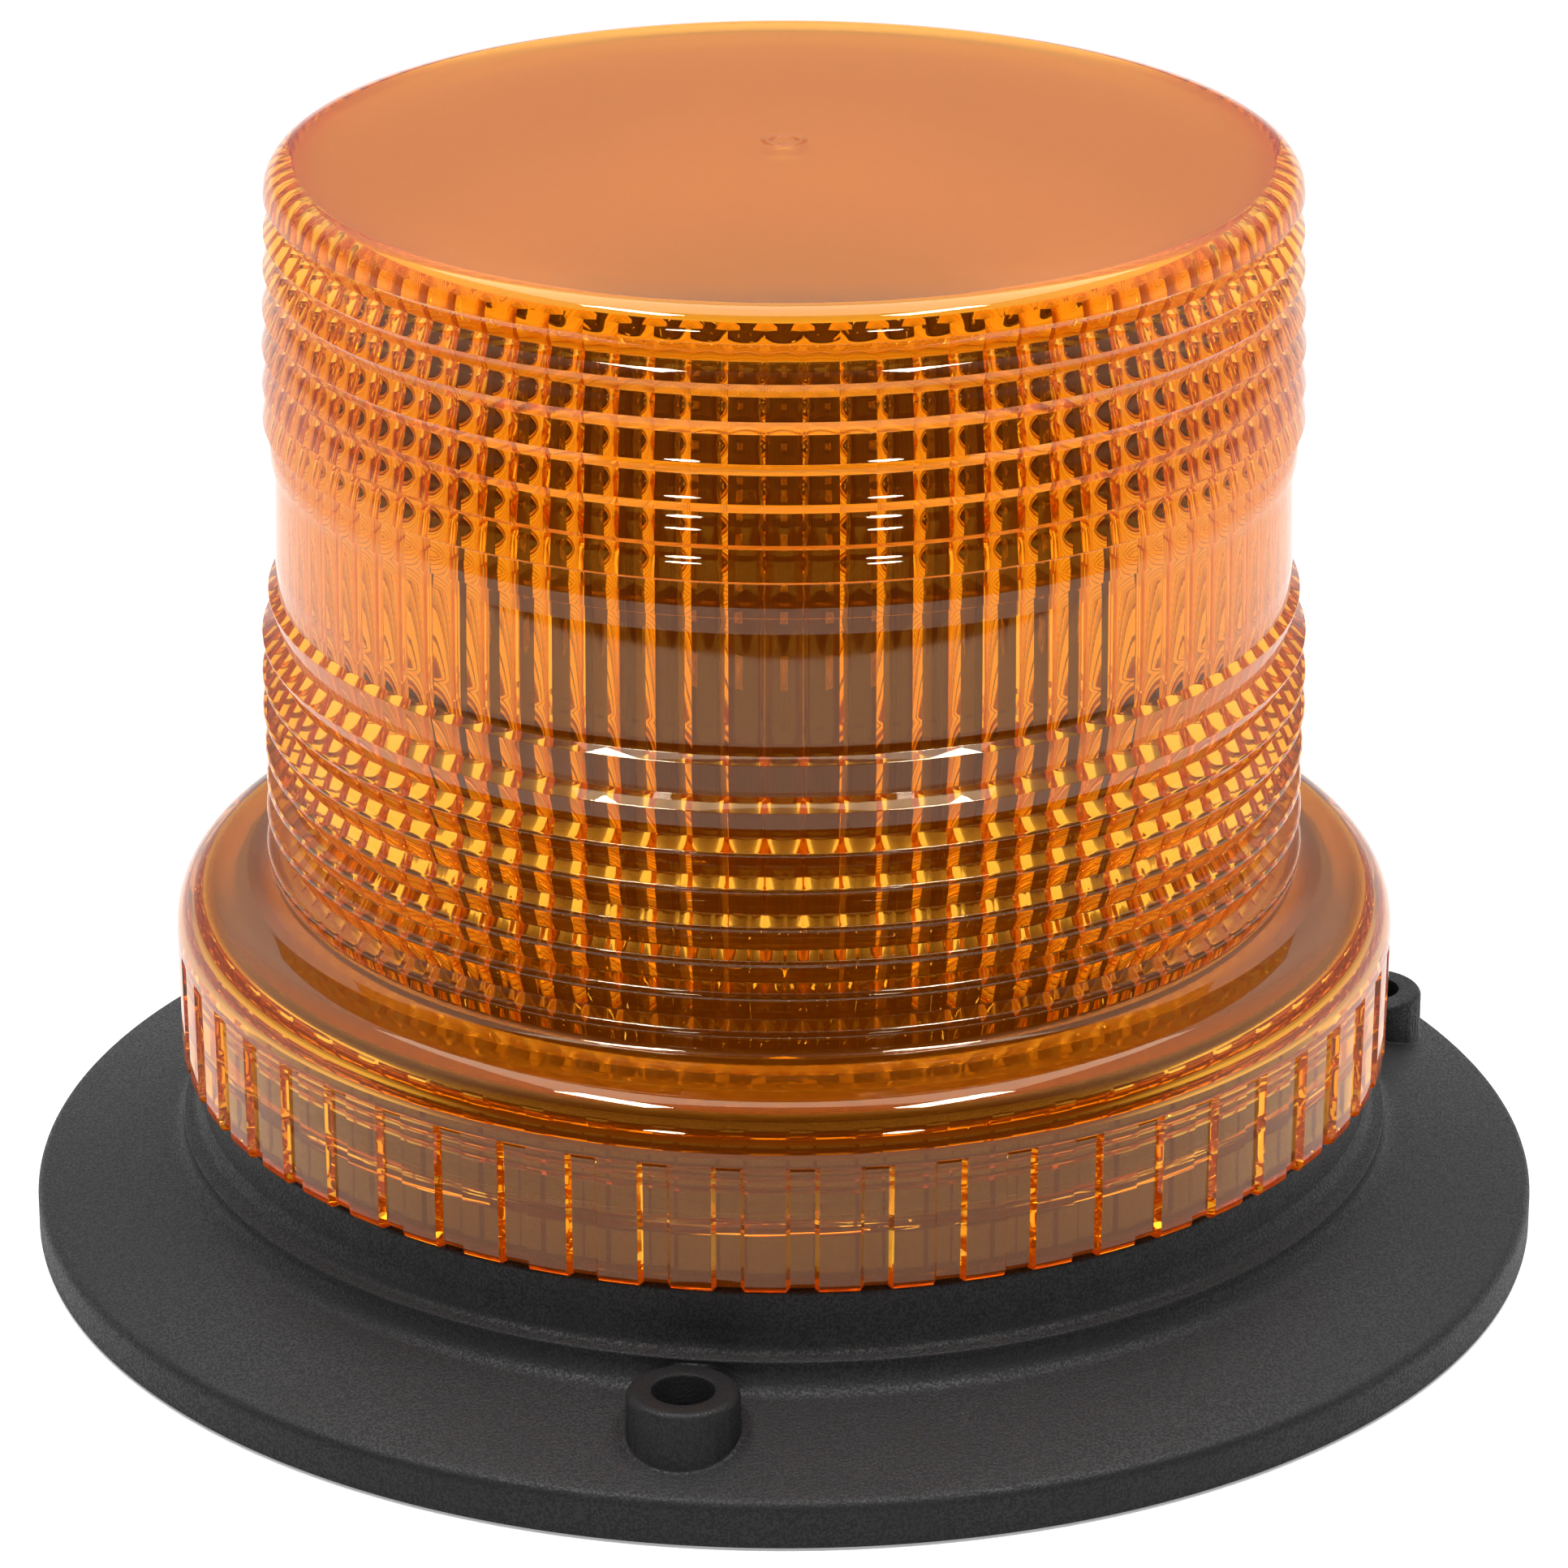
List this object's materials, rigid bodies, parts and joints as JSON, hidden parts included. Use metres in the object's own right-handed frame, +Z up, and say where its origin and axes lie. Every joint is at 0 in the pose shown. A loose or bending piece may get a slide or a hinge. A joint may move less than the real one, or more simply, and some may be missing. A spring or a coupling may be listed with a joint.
{
  "type": "warning beacon light",
  "caption": "Amber warning beacon: ribbed screw-on lens over an LED tower, on a flared black surface-mount base with screw bosses.",
  "frame": {"origin": "centre of the base's underside, on the surface that the beacon is screwed to", "axes": "+Z up along the lens axis; -Y is the front, where the first screw boss stands just left of centre; +X to the right seen from the front"},
  "size_m": [0.165, 0.165, 0.1199],
  "materials": {
    "amber_lens": "clear tinted polycarbonate, frosted on its top",
    "black_plastic": "finely textured",
    "black_rubber": "matte",
    "steel": "zinc plated",
    "aluminium": "black anodised",
    "board_black": "black solder mask",
    "chip_black": "moulded epoxy",
    "led_clear": "clear silicone dome over amber phosphor",
    "capacitor_sleeve": "bare can",
    "terminal_green": "moulded nylon",
    "button_white": "moulded nylon"
  },
  "bodies": {
    "base": {"base_housing": "black_plastic", "board_screw_1": "steel", "board_screw_2": "steel", "board_screw_3": "steel", "cable_grommet": "black_rubber", "cap_screw_1": "steel", "cap_screw_2": "steel", "cap_screw_3": "steel", "capacitor_1": "capacitor_sleeve", "capacitor_2": "capacitor_sleeve", "controller_chip": "chip_black", "driver_board": "board_black", "fuse": "button_white", "heat_sink": "aluminium", "inductor": "chip_black", "input_terminal": "terminal_green", "led_1": "led_clear", "led_10": "led_clear", "led_11": "led_clear", "led_12": "led_clear", "led_2": "led_clear", "led_3": "led_clear", "led_4": "led_clear", "led_5": "led_clear", "led_6": "led_clear", "led_7": "led_clear", "led_8": "led_clear", "led_9": "led_clear", "led_board_1": "board_black", "led_board_2": "board_black", "led_board_3": "board_black", "led_board_4": "board_black", "led_board_5": "board_black", "led_board_6": "board_black", "led_board_screw_1": "steel", "led_board_screw_2": "steel", "led_board_screw_3": "steel", "led_board_screw_4": "steel", "led_board_screw_5": "steel", "led_board_screw_6": "steel", "mounting_gasket": "black_rubber", "power_transistor": "chip_black", "surge_diode": "chip_black", "switch_housing": "chip_black", "tower_base": "black_plastic", "tower_cap": "black_plastic", "tower_header": "chip_black", "tower_screw_1": "steel", "tower_screw_2": "steel", "tower_screw_3": "steel", "vent_plug": "black_plastic"},
    "lens_seal": {"lens_seal": "black_rubber"},
    "lens": {"lens": "amber_lens"},
    "pattern_button": {"pattern_button": "button_white"}
  },
  "joints": [
    {"name": "lens_rise", "type": "slide", "parent": "base", "child": "lens_seal", "axis": [0, 0, 1], "range_m": [0, 0.00562]},
    {"name": "lens_turn", "type": "hinge", "parent": "lens_seal", "child": "lens", "pos_m": [0, 0, 0.03], "axis": [0, 0, 1], "range_deg": [0, 810]},
    {"name": "button_press", "type": "slide", "parent": "base", "child": "pattern_button", "axis": [0, 0, -1], "range_m": [0, 0.0005], "stiffness_N_per_m": 800}
  ],
  "couplings": [
    {"joint": "lens_rise", "follows": "lens_turn", "m_per_rad": 0.00039789}
  ]
}
